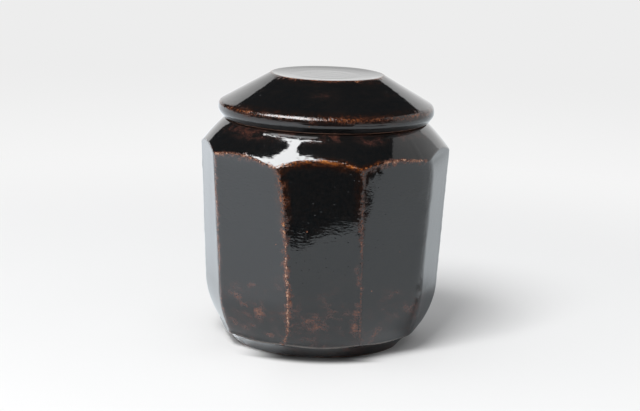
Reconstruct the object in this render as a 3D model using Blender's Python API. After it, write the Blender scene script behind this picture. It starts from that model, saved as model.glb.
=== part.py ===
"""A lidded stoneware jar whose thrown wall is cut into ten upright facets.

It comes apart into two pieces: the jar body, and the lid, which lifts straight off and is
kept in place by a flange inside the mouth. Both are turned about the Z axis.
Sizes below are millimetres and directions are degrees. The model is in metres, +Z up, with
the origin in the middle of the foot, on the surface that the jar stands on.
"""
import math

import bmesh
import bpy
from mathutils import Vector

MM = 0.001

# Jar body, outside. A corner is where two facets meet.
CORNER_RADIUS = 58.5          # axis to a corner, at the shoulder crease
RIM_HEIGHT = 104.4            # standing surface to the top of the mouth rim
SHOULDER_DROP = 13.1          # rim down to the shoulder crease, at a corner
SHOULDER_WIDTH = 11.6         # how far the shoulder draws in above the crease
WALL_TAPER = 3.4              # how far the corners draw in from the crease to the knee
KNEE_HEIGHT = 30.0            # where the wall starts to curve in towards the base
BASE_DRAW_IN = 7.2            # how far that curve draws the corners in
BASE_CREASE_HEIGHT = 7.1      # where the facets end on the trimmed bevel, at a corner
BEVEL_WIDTH = 8.0             # base crease to the foot, across the bevel
FOOT_RING_WIDTH = 5.0
FOOT_RECESS = 1.8             # depth of the hollow inside the foot ring
CORNER_ROUNDING = 1.2         # each facet loses this much where it meets the next
CREASE_ROUNDING = 0.6         # the same where the facets meet the shoulder and the bevel

# Jar body, inside
WALL_THICKNESS = 5.0          # at the middle of the widest facet, where it is thinnest
FLOOR_THICKNESS = 6.0
FLOOR_CORNER_RADIUS = 12.0
SHOULDER_DEPTH = 11.0         # clay under the shoulder, measured straight down
RIM_WIDTH = 5.5               # across the flat top of the mouth
RIM_ROUNDING = 0.8

# Lid
SEAT_GAP = 0.3                # between the mouth rim and the lid that rests on it
LID_OVERHANG = 2.6            # lid's widest edge, past the outside of the mouth rim
LID_RISE = 21.2               # seat to the top of the lid
TOP_RADIUS = 26.0             # flat disc on top
DISC_BORDER_WIDTH = 3.0       # raised border of that disc
DISC_DISH = 0.8               # how far the disc is sunk inside its border
EDGE_ROUNDING = 1.3           # where the slope turns over into the lid's edge
EDGE_BAND = 1.1               # height of the upright part of the edge
LIP_HEIGHT = 5.8              # seat up to that band
LIP_TUCK = 2.4                # how far the lip draws in on its way down to the seat
LID_THICKNESS = 5.0
FLANGE_CLEARANCE = 1.0        # flange to the bore of the mouth
FLANGE_THICKNESS = 4.0
FLANGE_DEPTH = 7.0            # how far the flange hangs below the seat

# Direction of each corner at the shoulder crease and at the base crease, 0 being the front
# (-Y) and 90 the right (+X). The facets are cut by eye, so their widths differ.
CORNER_DIRECTIONS = (
    (-95.5, -95.5),
    (-60.5, -58.0),
    (-18.5, -15.5),
    (18.0, 22.5),
    (57.8, 58.0),
    (92.4, 92.4),
    (126.5, 127.5),
    (162.0, 161.0),
    (195.5, 196.5),
    (230.5, 229.5),
)

LID_SEGMENTS = 96             # round a full turn
FACET_STEPS = 7               # columns across the flat of each facet
CURVE_STEPS = 6               # levels from the base crease to the knee
TAPER_STEPS = 4               # levels from the knee to the shoulder crease
BEVEL_STEPS = 4
SHOULDER_STEPS = 2
INSIDE_STEPS = 7              # levels down the inside of the wall
FLOOR_STEPS = 5               # over the rounded corner of the jar's floor
LIP_STEPS = 4
ROUNDING_STEPS = 3
SOLVER_STEPS = 12
BEVEL_FULLNESS = 1.6          # 1 is a straight bevel, more is fuller
WALL_FULLNESS = 2.0           # power of the curve below the knee
SMOOTH_ANGLE = math.radians(24.0)

# Heights and radii that follow from the sizes above
CREASE_HEIGHT = RIM_HEIGHT - SHOULDER_DROP
RIM_RADIUS = CORNER_RADIUS - SHOULDER_WIDTH
MOUTH_RADIUS = RIM_RADIUS - RIM_WIDTH
KNEE_RADIUS = CORNER_RADIUS - WALL_TAPER
BASE_RADIUS = KNEE_RADIUS - BASE_DRAW_IN
FOOT_RADIUS = BASE_RADIUS - BEVEL_WIDTH
FLOOR_HEIGHT = FOOT_RECESS + FLOOR_THICKNESS
SHOULDER_SLOPE = SHOULDER_DROP / SHOULDER_WIDTH
TAPER_SLOPE = WALL_TAPER / (CREASE_HEIGHT - KNEE_HEIGHT)


def clear_scene():
    for obj in list(bpy.data.objects):
        bpy.data.objects.remove(obj, do_unlink=True)


def corner_radius(height):
    """Axis to a corner at a height. The wall runs on straight above and below its creases."""
    if height >= KNEE_HEIGHT:
        return KNEE_RADIUS + TAPER_SLOPE * (height - KNEE_HEIGHT)
    share = min(1, (KNEE_HEIGHT - height) / (KNEE_HEIGHT - BASE_CREASE_HEIGHT))
    return KNEE_RADIUS - BASE_DRAW_IN * share ** WALL_FULLNESS


def corner_direction(index, height):
    """Direction of a corner at a height, in radians. Corners are counted round and round."""
    turns, index = divmod(index, len(CORNER_DIRECTIONS))
    at_shoulder, at_base = CORNER_DIRECTIONS[index]
    share = (CREASE_HEIGHT - height) / (CREASE_HEIGHT - BASE_CREASE_HEIGHT)
    share = min(1, max(0, share))
    return math.radians(at_shoulder + (at_base - at_shoulder) * share) + math.tau * turns


def column_direction(column, height):
    """Direction of a column, a (corner, share of the facet that follows it) pair."""
    corner, share = column
    start = corner_direction(corner, height)
    return start + (corner_direction(corner + 1, height) - start) * share


def wall_radius(column, height):
    """Axis to the flat facet at a column, or to the rounded corner where the share is 0."""
    corner, share = column
    start = corner_direction(corner, height)
    half_width = (corner_direction(corner + 1, height) - start) / 2
    off_middle = column_direction(column, height) - start - half_width
    radius = corner_radius(height) * math.cos(half_width) / math.cos(off_middle)
    if share == 0:
        turn = (corner_direction(corner + 1, height) - corner_direction(corner - 1, height)) / 2
        radius -= CORNER_ROUNDING * math.tan(turn / 4)
    return radius


def facet_columns():
    """Columns round the jar: every corner, the ends of its rounding, and the flats."""
    columns = []
    for corner in range(len(CORNER_DIRECTIONS)):
        start = corner_direction(corner, CREASE_HEIGHT)
        width = corner_direction(corner + 1, CREASE_HEIGHT) - start
        rounding = CORNER_ROUNDING / (2 * CORNER_RADIUS * math.sin(width / 2))
        columns.append((corner, 0))
        for step in range(FACET_STEPS + 1):
            columns.append((corner, rounding + (1 - 2 * rounding) * step / FACET_STEPS))
    return columns


def flattest_share():
    """Facet middle over corner radius, for the widest facet."""
    tops = [ends[0] for ends in CORNER_DIRECTIONS]
    widths = [after - before for before, after in zip(tops, tops[1:])]
    return math.cos(math.radians(max(widths) / 2))


def inner_wall_radius(height):
    return corner_radius(height) * flattest_share() - WALL_THICKNESS


def shoulder_height(radius):
    """Height of the straight shoulder at a radius."""
    return RIM_HEIGHT - (radius - RIM_RADIUS) * SHOULDER_SLOPE


def bevel_height(radius):
    """Height of the trimmed bevel at a radius."""
    share = min(1, (radius - FOOT_RADIUS) / BEVEL_WIDTH)
    return BASE_CREASE_HEIGHT * (1 - (1 - share) ** BEVEL_FULLNESS)


def meeting_height(column, height, surface):
    """Height at which a column of the wall meets the shoulder or the bevel."""
    for _ in range(SOLVER_STEPS):
        height = surface(wall_radius(column, height))
    return height


def arc(centre, radius, start, end, steps):
    """Points of an arc in the (radius, height) plane, angles in degrees from outwards."""
    points = []
    for step in range(steps + 1):
        angle = math.radians(start + (end - start) * step / steps)
        points.append((centre[0] + radius * math.cos(angle), centre[1] + radius * math.sin(angle)))
    return points


def rounded(before, corner, after, length):
    """Three points that round a corner of an outline, starting a length before it."""
    back = Vector(before) - Vector(corner)
    ahead = Vector(after) - Vector(corner)
    length = min(length, back.length / 2, ahead.length / 2)
    back.normalize()
    ahead.normalize()
    half_turn = (math.pi - back.angle(ahead)) / 2
    inset = length * (1 / math.cos(half_turn) - 1) / math.tan(half_turn)
    middle = Vector(corner) + (back + ahead).normalized() * inset
    return [Vector(corner) + back * length, middle, Vector(corner) + ahead * length]


def between(start, end, steps):
    """Evenly spaced values after the start, up to the end."""
    return [start + (end - start) * step / steps for step in range(1, steps + 1)]


def inner_crease():
    """Where the inside of the upright wall meets the inside of the shoulder."""
    wall_at_zero = (KNEE_RADIUS - TAPER_SLOPE * KNEE_HEIGHT) * flattest_share() - WALL_THICKNESS
    wall_slope = TAPER_SLOPE * flattest_share()
    height = shoulder_height(wall_at_zero) - SHOULDER_DEPTH
    height /= 1 + SHOULDER_SLOPE * wall_slope
    return wall_at_zero + wall_slope * height, height


def shoulder_top():
    """The arc that turns the shoulder over into the flat of the mouth rim."""
    facing = math.atan2(SHOULDER_WIDTH, SHOULDER_DROP)
    inset = RIM_ROUNDING * (1 - math.sin(facing)) / math.cos(facing)
    centre = (RIM_RADIUS - inset, RIM_HEIGHT - RIM_ROUNDING)
    return arc(centre, RIM_ROUNDING, math.degrees(facing), 90, ROUNDING_STEPS)


def outside_outline(column):
    """Outline of one column of the jar's outside, from the foot up to the rim's flat."""
    base = meeting_height(column, BASE_CREASE_HEIGHT, bevel_height)
    crease = meeting_height(column, CREASE_HEIGHT, shoulder_height)
    base_radius = wall_radius(column, base)
    rim = shoulder_top()

    bevel = [(radius, bevel_height(radius))
             for radius in between(FOOT_RADIUS, base_radius, BEVEL_STEPS)]
    heights = between(base, KNEE_HEIGHT, CURVE_STEPS) + between(KNEE_HEIGHT, crease, TAPER_STEPS)
    wall = [(wall_radius(column, height), height) for height in heights]
    top = wall[-1]
    shoulder = [(top[0] + (rim[0][0] - top[0]) * share, top[1] + (rim[0][1] - top[1]) * share)
                for share in between(0, 1, SHOULDER_STEPS)]

    outline = [(FOOT_RADIUS, 0.0)] + bevel[:-1]
    outline += rounded(bevel[-2], bevel[-1], wall[0], CREASE_ROUNDING)
    outline += wall[:-1]
    outline += rounded(wall[-2], top, shoulder[0], CREASE_ROUNDING)
    return outline + shoulder[:-1] + rim


def inside_outline():
    """Outline of the jar's round inside, from the rim's flat down to the floor's middle."""
    outline = arc((MOUTH_RADIUS + RIM_ROUNDING, RIM_HEIGHT - RIM_ROUNDING), RIM_ROUNDING,
                  90, 180, ROUNDING_STEPS)
    outline.append((MOUTH_RADIUS, shoulder_height(MOUTH_RADIUS) - SHOULDER_DEPTH))
    outline.append(inner_crease())
    corner_top = FLOOR_HEIGHT + FLOOR_CORNER_RADIUS
    for height in between(outline[-1][1], corner_top, INSIDE_STEPS):
        outline.append((inner_wall_radius(height), height))
    corner = (inner_wall_radius(corner_top) - FLOOR_CORNER_RADIUS, corner_top)
    return outline + arc(corner, FLOOR_CORNER_RADIUS, 0, -90, FLOOR_STEPS)[1:]


def slope_height(radius, start, end):
    """Height of the lid's slope at a radius, from its two ends."""
    (r1, z1), (r2, z2) = start, end
    return z1 + (radius - r1) * (z2 - z1) / (r2 - r1)


def lid_profile():
    """Closed outline of the lid at rest: down its outside, across its seat, up its hollow."""
    seat = RIM_HEIGHT + SEAT_GAP
    top = seat + LID_RISE
    edge = RIM_RADIUS + LID_OVERHANG
    disc = top - DISC_DISH
    band_top = seat + LIP_HEIGHT + EDGE_BAND

    # The slope leaves the disc's border and meets the rounded edge at a tangent.
    centre = (edge - EDGE_ROUNDING, band_top)
    run = centre[0] - TOP_RADIUS
    rise = top - centre[1]
    tangent = 180 - math.degrees(math.atan2(rise, run))
    tangent -= math.degrees(math.acos(EDGE_ROUNDING / math.hypot(run, rise)))
    turn_over = arc(centre, EDGE_ROUNDING, tangent, 0, ROUNDING_STEPS)
    slope = ((TOP_RADIUS, top), turn_over[0])

    # The lip is an arc that starts upright under the band and draws in by LIP_TUCK.
    lip_radius = (LIP_HEIGHT ** 2 + LIP_TUCK ** 2) / (2 * LIP_TUCK)
    lip_sweep = math.degrees(math.atan2(LIP_HEIGHT, lip_radius - LIP_TUCK))
    lip = arc((edge - lip_radius, seat + LIP_HEIGHT), lip_radius, 0, -lip_sweep, LIP_STEPS)

    flange_outside = MOUTH_RADIUS - FLANGE_CLEARANCE
    flange_inside = flange_outside - FLANGE_THICKNESS
    flange_round = FLANGE_THICKNESS / 2
    flange_end = (flange_outside - flange_round, seat - FLANGE_DEPTH + flange_round)

    # The hollow follows the slope and the disc at the lid's thickness.
    slope_length = math.dist(*slope)
    slope_depth = LID_THICKNESS * slope_length / (slope[1][0] - slope[0][0])
    roof = disc - LID_THICKNESS
    hollow_side = slope_height(flange_inside, *slope) - slope_depth
    roof_share = (roof + slope_depth - slope[0][1]) / (slope[1][1] - slope[0][1])
    roof_radius = slope[0][0] + (slope[1][0] - slope[0][0]) * roof_share

    outline = [(0.0, disc), (TOP_RADIUS - DISC_BORDER_WIDTH, disc), slope[0]]
    outline += turn_over
    outline += lip
    outline.append((flange_outside, seat))
    outline += arc(flange_end, flange_round, 0, -180, 2 * ROUNDING_STEPS)
    outline += [(flange_inside, hollow_side), (roof_radius, roof), (0.0, roof)]
    return outline


def placed(radius, height, direction):
    """A point in metres from a radius, a height and a direction round the axis."""
    return (radius * MM * math.sin(direction), -radius * MM * math.cos(direction), height * MM)


def object_from(name, bm):
    """An object of a bmesh, with its faces out, smooth but for its real edges."""
    bmesh.ops.recalc_face_normals(bm, faces=bm.faces)
    mesh = bpy.data.meshes.new(name)
    bm.to_mesh(mesh)
    bm.free()
    mesh.shade_smooth()
    mesh.set_sharp_from_angle(angle=SMOOTH_ANGLE)
    obj = bpy.data.objects.new(name, mesh)
    bpy.context.collection.objects.link(obj)
    return obj


def closed_skin(name, columns, first_height, last_height):
    """A solid whose skin runs along columns of points, from the axis out and back to it."""
    bm = bmesh.new()
    grid = [[bm.verts.new(point) for point in column] for column in columns]
    first = bm.verts.new(placed(0, first_height, 0))
    last = bm.verts.new(placed(0, last_height, 0))
    for left, right in zip(grid, grid[1:] + grid[:1]):
        bm.faces.new((first, left[0], right[0]))
        for row in range(len(left) - 1):
            bm.faces.new((left[row], left[row + 1], right[row + 1], right[row]))
        bm.faces.new((last, right[-1], left[-1]))
    return object_from(name, bm)


def glaze(name, color, roughness):
    """Glossy iron glaze, almost black."""
    material = bpy.data.materials.new(name)
    material.use_nodes = True
    shader = material.node_tree.nodes["Principled BSDF"]
    shader.inputs["Base Color"].default_value = (*color, 1.0)
    shader.inputs["Roughness"].default_value = roughness
    shader.inputs["Metallic"].default_value = 0.0
    material.diffuse_color = (*color, 1.0)
    return material


def make_jar_body():
    """Under the foot, up each column of the faceted outside, and down the round inside."""
    ring_inside = FOOT_RADIUS - FOOT_RING_WIDTH
    foot = [(ring_inside, FOOT_RECESS), (ring_inside, 0.0)]
    columns = []
    for column in facet_columns():
        points = []
        for radius, height in foot + outside_outline(column) + inside_outline():
            points.append(placed(radius, height, column_direction(column, height)))
        columns.append(points)
    body = closed_skin("jar_body", columns, FOOT_RECESS, FLOOR_HEIGHT)
    body.data.materials.append(glaze("iron_glaze_jar", (0.018, 0.012, 0.010), 0.08))


def make_lid():
    """The lid's outline turned about the axis."""
    (_, disc), *outline, (_, roof) = lid_profile()
    columns = []
    for segment in range(LID_SEGMENTS):
        direction = math.tau * segment / LID_SEGMENTS
        columns.append([placed(radius, height, direction) for radius, height in outline])
    lid = closed_skin("lid", columns, disc, roof)
    lid.data.materials.append(glaze("iron_glaze_lid", (0.022, 0.013, 0.010), 0.08))


clear_scene()
make_jar_body()
make_lid()
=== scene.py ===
"""The looks of the lidded, faceted stoneware jar, in a glossy iron glaze on a pale floor.

The jar body and the lid are each one fine mesh that stands for the plain CAD piece. The jar's
wall is worked out column by column, as it was cut: flat facets between ten corners, which meet
a turned shoulder above and a trimmed bevel below. Sizes are millimetres and directions are
degrees, 0 being the front (-Y) and 90 the right (+X), unless a name says otherwise.
"""
import math

import bpy
import numpy as np
from mathutils import Matrix, Vector


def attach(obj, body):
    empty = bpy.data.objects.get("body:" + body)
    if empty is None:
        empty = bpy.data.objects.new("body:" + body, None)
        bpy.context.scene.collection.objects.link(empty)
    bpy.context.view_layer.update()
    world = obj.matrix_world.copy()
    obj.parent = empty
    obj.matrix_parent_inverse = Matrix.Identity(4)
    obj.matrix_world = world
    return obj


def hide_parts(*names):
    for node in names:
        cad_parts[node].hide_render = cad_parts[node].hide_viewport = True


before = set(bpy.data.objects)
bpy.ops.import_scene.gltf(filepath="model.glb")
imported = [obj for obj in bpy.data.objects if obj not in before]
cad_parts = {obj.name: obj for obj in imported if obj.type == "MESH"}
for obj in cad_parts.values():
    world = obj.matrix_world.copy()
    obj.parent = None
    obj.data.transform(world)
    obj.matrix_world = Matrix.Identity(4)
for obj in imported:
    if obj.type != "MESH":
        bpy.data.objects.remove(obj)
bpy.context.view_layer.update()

MM = 0.001

# Jar body, outside
CORNER_RADIUS = 58.5  # axis to a corner, at the shoulder crease
RIM_HEIGHT = 104.4
SHOULDER_DROP = 13.1
SHOULDER_WIDTH = 11.6
SHOULDER_DOME = 0.45  # how far the shoulder swells past a straight cone
WALL_TAPER = 3.4
KNEE_HEIGHT = 30.0
BASE_DRAW_IN = 7.2
BASE_CREASE_HEIGHT = 7.1
BEVEL_WIDTH = 9.2
BASE_SLANT = 0.12  # share by which the bevel's height varies round the jar
BASE_HIGH_DIRECTION = 105.0
FOOT_SHIFT = (-1.1, -0.4)  # how far the foot is off the axis, to the right and back
FOOT_RING_WIDTH = 5.0
FOOT_RECESS = 1.8
RECESS_ROUNDING = 0.8
FOOT_ROUNDING = 0.5
CORNER_ROUNDING = (1.1, 0.33)  # and how much it varies along a corner
CREASE_ROUNDING = 0.7
BASE_ROUNDING = 0.35
WALL_FULLNESS = 2.0
BEVEL_FULLNESS = 1.6

# Jar body, inside
WALL_THICKNESS = 5.0
FLOOR_THICKNESS = 6.0
FLOOR_CORNER_RADIUS = 12.0
SHOULDER_DEPTH = 11.0
RIM_WIDTH = 5.5
RIM_ROUNDING = 0.8
NECK_ROUNDING = 1.5  # under the bore of the mouth
INNER_CREASE_ROUNDING = 5.0
INNER_KNEE_ROUNDING = 6.0

# Lid
SEAT_GAP = 0.3
LID_OVERHANG = 2.6
LID_RISE = 21.2
TOP_RADIUS = 26.0
DISC_DISH = 0.8
DISC_CURVE = 7.0  # how far in from the disc's edge the dish bends
DISC_BORDER = 1.5  # what that bend leaves at the edge
DISC_EDGE_ROUNDING = 0.5
LIP_TUCK = 2.4
LID_THICKNESS = 5.0
FLANGE_CLEARANCE = 1.0
FLANGE_THICKNESS = 4.0
FLANGE_DEPTH = 7.0
SLOPE_ANGLE = 29.97  # of the lid's slope, below level
RIM_TOP_RADIUS = 49.9  # where the slope turns down into the lip
RIM_TURN = 1.5
LIP_BULGE = 0.8  # how far the lip's lower turn stands out
LIP_TURN_HEIGHT = 3.6  # and its height over the seat
LIP_TURN = 1.3
LIP_FOOT_OUT = 0.5  # how far the lip's foot stands out past its tuck
LIP_FOOT_ROUNDING = 0.9
SEAT_ROUNDING = 0.4
FLANGE_FLAT = 0.1  # left on each side of its round end
UNDER_SLOPE_ROUNDING = 2.0
ROOF_ROUNDING = 2.5

# The lid's glaze
RIM_BREAK = (0.54, 0.10)  # how strongly it breaks to rust, and how much that varies
DISC_BREAK = (0.54, 0.16)
DISC_INSIDE = 4.0  # how much narrower the rust is on the disc than most,
DISC_OUTSIDE = 0.9  # and on the slope below it
RIM_BREAK_OUT = 0.2  # how far past the rim's turn it is strongest
RIM_BREAK_WIDTH = 1.15  # how much wider it is there
RIM_AMBER = 0.62  # how far the rust leans to amber
DISC_AMBER = 0.30
LID_WEAR = (0.07, 0.12)  # how thin the glaze lies elsewhere

# Each corner between two facets: its direction at the shoulder crease and at the base crease,
# and how far it swings aside there.
CORNERS = np.array((
    (-95.5, -95.5, 0.0, -1.5),
    (-59.8, -56.4, 0.0, -3.8),
    (-18.6, -14.4, -3.8, -5.5),
    (17.3, 20.3, -0.9, 3.7),
    (57.6, 55.5, -3.8, 4.8),
    (92.4, 92.4, 0.0, 1.5),
    (126.5, 127.5, -2.5, 3.0),
    (162.0, 161.0, 2.5, -3.0),
    (195.5, 196.5, 0.0, 2.5),
    (230.5, 229.5, 2.0, -3.5),
))
# How much softer each corner is than most, and how far the facet after it swells at its top.
SOFTNESS = np.array((1.3, 1.7, 1.0, 1.0, 4.0, 1.2, 1.0, 1.4, 1.0, 1.1))
SWELL = np.array((0.0, 0.6, 0.1, 0.8, 0.0, 0.3, 0.3, -0.2, 0.2, 0.5))
SWELL_HEIGHT = 26.0
SAG = 0.16  # how much steeper the shoulder falls at the front left
SAG_DIRECTION = -12.0
SAG_WIDTH = 27.0
TOP_SWING_HEIGHT = 3.0
BASE_SWING_HEIGHT = 5.5
CORNER_WANDER = 0.30  # degrees that a corner strays from its line
WANDER_REACH = 2.2  # how far from the corner it takes the facets along
FRONT = 2  # number of the corner at the left of the front facet
FRONT_BOW = -1.5  # degrees that this corner leans aside towards its top
FRONT_BOW_HEIGHT = 25.0

# How strongly the glaze breaks to rust, 0 to 1: on each corner, and on the crease over the facet
# that follows it.
BREAKS = np.array((
    (0.34, 0.35), (0.54, 0.90), (0.73, 1.00), (0.36, 0.80), (0.16, 0.12),
    (0.30, 0.35), (0.50, 0.60), (0.40, 0.45), (0.60, 0.75), (0.45, 0.40),
))
BASE_BREAK = 0.40
CREST_BREAK = 0.16  # added on the tops of the corners beside the front facet
AMBER_HEIGHTS = (54, 74)  # where those corners turn from rust to amber
AMBER_RUN = (0.36, 0.22)  # shares of the next crest over which amber runs out along it
SHOULDER_SIDE = 2.2  # how much narrower the rust is above the crease,
BASE_SIDE = 2.6  # and along the base
WANDER_END = 5.0  # this far from the creases a corner wanders in full
BREAK_SPREAD = 0.35  # share by which the breaks vary along an edge
FAR = 99.0  # distance of what lies near no edge

# Heights and radii that follow
CREASE_HEIGHT = RIM_HEIGHT - SHOULDER_DROP
RIM_RADIUS = CORNER_RADIUS - SHOULDER_WIDTH
MOUTH_RADIUS = RIM_RADIUS - RIM_WIDTH
KNEE_RADIUS = CORNER_RADIUS - WALL_TAPER
BASE_RADIUS = KNEE_RADIUS - BASE_DRAW_IN
FOOT_RADIUS = BASE_RADIUS - BEVEL_WIDTH
FLOOR_HEIGHT = FOOT_RECESS + FLOOR_THICKNESS
SHOULDER_SLOPE = SHOULDER_DROP / SHOULDER_WIDTH
TAPER_SLOPE = WALL_TAPER / (CREASE_HEIGHT - KNEE_HEIGHT)
LID_EDGE_RADIUS = RIM_RADIUS + LID_OVERHANG
SEAT_HEIGHT = RIM_HEIGHT + SEAT_GAP
LID_TOP = SEAT_HEIGHT + LID_RISE

# Mesh steps
FLAT_COLUMNS = 24
WALL_ROWS = 96
BEVEL_ROWS = 14
SHOULDER_ROWS = 24
CREASE_ROWS = 8
LID_COLUMNS = 300
LID_SPACING = 0.55
INSIDE_SPACING = 2.2
UNDER_SPACING = 2.0
LEAST_CURVE_STEPS = 5
CLOSE_COLUMNS = 5  # columns over each half of a corner's rounding,
CLOSE_REACH = 1.3  # which go a little past it
SOLVER_STEPS = 14


# Smooth noise, the same on every run

def waves(points, wavelength, seed, stretch=(1, 1, 1), count=24):
    """Smooth noise about 0, mostly within 1 of it, at points in millimetres."""
    random = np.random.default_rng(seed)
    directions = random.normal(size=(count, 3))
    directions /= np.linalg.norm(directions, axis=1)[:, None]
    lengths = wavelength * random.uniform(0.7, 1.5, count)
    phases = random.uniform(0, math.tau, count)
    total = 0
    for direction, length, phase in zip(directions, lengths, phases):
        along = points @ (direction / np.array(stretch))
        total = total + np.cos(along * math.tau / length + phase)
    return total / math.sqrt(2 * count)


def varied(value, noise):
    """A value of (mean, spread), varied by noise."""
    return value[0] + value[1] * noise


def smooth_step(value, start, end):
    """0 at the start, 1 at the end, and smooth between them."""
    share = np.clip((value - start) / (end - start), 0, 1)
    return share * share * (3 - 2 * share)


# Turned profiles, as (radius, height) points

def outline(corners, spacing):
    """Points along straight runs, each corner (radius, height, rounding) rounded by a curve."""
    corners = [np.array(corner, float) for corner in corners]
    points = [corners[0][:2]]
    for before, corner, after in zip(corners, corners[1:], corners[2:]):
        back = before[:2] - corner[:2]
        ahead = after[:2] - corner[:2]
        start = corner[:2] + back / np.linalg.norm(back) * corner[2]
        end = corner[:2] + ahead / np.linalg.norm(ahead) * corner[2]
        points += straight(points[-1], start, spacing)
        points += curve(start, corner[:2], end, spacing)
    return np.array(points + straight(points[-1], corners[-1][:2], spacing))


def straight(start, end, spacing):
    steps = max(1, round(float(np.linalg.norm(end - start)) / spacing))
    return [start + (end - start) * step / steps for step in range(1, steps + 1)]


def curve(start, control, end, spacing):
    length = float(np.linalg.norm(control - start) + np.linalg.norm(end - control))
    steps = max(LEAST_CURVE_STEPS, round(length / spacing))
    return [bend(start, control, end, step / steps) for step in range(1, steps + 1)]


def bend(start, control, end, share):
    """A point on the curve that leaves the start towards the control and ends at the end."""
    return start * (1 - share) ** 2 + control * 2 * share * (1 - share) + end * share ** 2


def norm(vectors):
    return np.linalg.norm(vectors, axis=-1)


def unit(vectors):
    return vectors / norm(vectors)[..., None]


def direction_of(points):
    """Degrees from the front towards the right."""
    return np.degrees(np.arctan2(points[..., 0], -points[..., 1]))


def lifted(flat, height):
    """Points (x, y, height) from places seen from above."""
    return np.concatenate([flat, height[..., None]], -1)


# The faceted wall. Heights are arrays of (column, row), corners and shares of (column, 1).

def corner_radius(height):
    share = np.clip((KNEE_HEIGHT - height) / (KNEE_HEIGHT - BASE_CREASE_HEIGHT), 0, 1)
    above = KNEE_RADIUS + TAPER_SLOPE * (height - KNEE_HEIGHT)
    return np.where(height >= KNEE_HEIGHT, above, KNEE_RADIUS - BASE_DRAW_IN * share ** WALL_FULLNESS)


def corner_point(corner, height):
    """Where a sharp corner would stand at a height, seen from above."""
    turns, corner = np.divmod(corner, len(CORNERS))
    top, base, top_swing, base_swing = np.moveaxis(CORNERS[corner], -1, 0)
    inside = np.clip(height, BASE_CREASE_HEIGHT, CREASE_HEIGHT)
    share = (CREASE_HEIGHT - inside) / (CREASE_HEIGHT - BASE_CREASE_HEIGHT)
    direction = top + (base - top) * share + 360 * turns
    direction = direction + top_swing * np.exp((inside - CREASE_HEIGHT) / TOP_SWING_HEIGHT)
    direction = direction + base_swing * np.exp((BASE_CREASE_HEIGHT - inside) / BASE_SWING_HEIGHT)
    bow = FRONT_BOW * np.exp(-((CREASE_HEIGHT - inside) / FRONT_BOW_HEIGHT) ** 2)
    direction = direction + bow * (corner == FRONT)
    angle = np.radians(direction)
    radius = corner_radius(height)
    return np.stack([radius * np.sin(angle), -radius * np.cos(angle)], -1)


def corner_waves(corner, height, apart, wavelength, seed):
    """Noise along the corners, which lie apart in it, so that no two are alike."""
    place = np.stack(np.broadcast_arrays(corner * apart, height, 0.0), -1)
    return waves(place, wavelength, seed)


def wander(corner, height):
    """Degrees that a corner strays from its line at a height."""
    return CORNER_WANDER * corner_waves(corner, height, 41.0, 15, 5)


def corner_rounding(corner, height):
    """The rounding of a corner, which varies along it as the cut does."""
    corner = corner % len(CORNERS)
    noise = np.clip(corner_waves(corner, height, 37.0, 11, 3), -1, 1)
    return (varied(CORNER_ROUNDING, noise) * SOFTNESS[corner])[..., None]


def wall_point(corner, share, height):
    """Point of the wall seen from above, and its distance to the nearest corner."""
    before, here, after, beyond = (corner_point(corner + step, height) for step in (-1, 0, 1, 2))
    width = norm(after - here)[..., None]
    share = share[..., None]
    along = unit(after - here)
    outward = np.stack([along[..., 1], -along[..., 0]], -1)
    swell = SWELL[corner % len(CORNERS)] * np.exp(np.minimum(height - CREASE_HEIGHT, 0) / SWELL_HEIGHT)
    point = here + (after - here) * share + outward * swell[..., None] * 4 * share * (1 - share)
    reach = corner_rounding(corner, height)
    turned = bend(here - reach * unit(here - before), here, here + reach * along,
                  (share * width / reach + 1) / 2)
    point = np.where(share * width < reach, turned, point)
    reach = corner_rounding(corner + 1, height)
    turned = bend(after - reach * along, after, after + reach * unit(beyond - after),
                  (1 - (1 - share) * width / reach) / 2)
    point = np.where((1 - share) * width < reach, turned, point)
    return point, (np.minimum(share, 1 - share) * width)[..., 0]


def facet_columns():
    """Every column round the jar, as arrays of corner numbers and shares of their facets."""
    near = CORNER_ROUNDING[0] * CLOSE_REACH / (2 * CORNER_RADIUS * math.sin(math.pi / len(CORNERS)))
    start = np.linspace(0, near, CLOSE_COLUMNS)[:-1]
    flat = np.linspace(near, 1 - near, FLAT_COLUMNS)
    end = 1 - start[:0:-1]
    shares = np.concatenate([start, flat, end])
    corners = np.repeat(np.arange(len(CORNERS)), len(shares))
    return corners[:, None], np.tile(shares, len(CORNERS))[:, None]


def shoulder_height(radius, steeper=0.0):
    return RIM_HEIGHT - (radius - RIM_RADIUS) * (SHOULDER_SLOPE + steeper)


def on_shoulder(point):
    sag = SAG * np.exp(-((direction_of(point) - SAG_DIRECTION) / SAG_WIDTH) ** 2)
    return shoulder_height(norm(point), sag)


def bevel_height(radius, direction):
    """Height of the bevel, which is trimmed a little higher on one side than on the other."""
    share = np.clip((radius - FOOT_RADIUS) / BEVEL_WIDTH, 0, 1)
    slant = 1 + BASE_SLANT * np.cos(np.radians(direction - BASE_HIGH_DIRECTION))
    return BASE_CREASE_HEIGHT * slant * (1 - (1 - share) ** BEVEL_FULLNESS)


def on_bevel(point):
    return bevel_height(norm(point), direction_of(point))


def meeting_height(corner, share, height, surface):
    """Height at which each column of the wall meets the shoulder or the bevel."""
    height = np.full(corner.shape, height)
    for _ in range(SOLVER_STEPS):
        point, _ = wall_point(corner, share, height)
        height = surface(point)
    return height


def at_direction(radius, height, direction):
    """Points from radii and heights, along unit directions seen from above."""
    return lifted(radius[..., None] * direction, np.broadcast_to(height, radius.shape))


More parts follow.
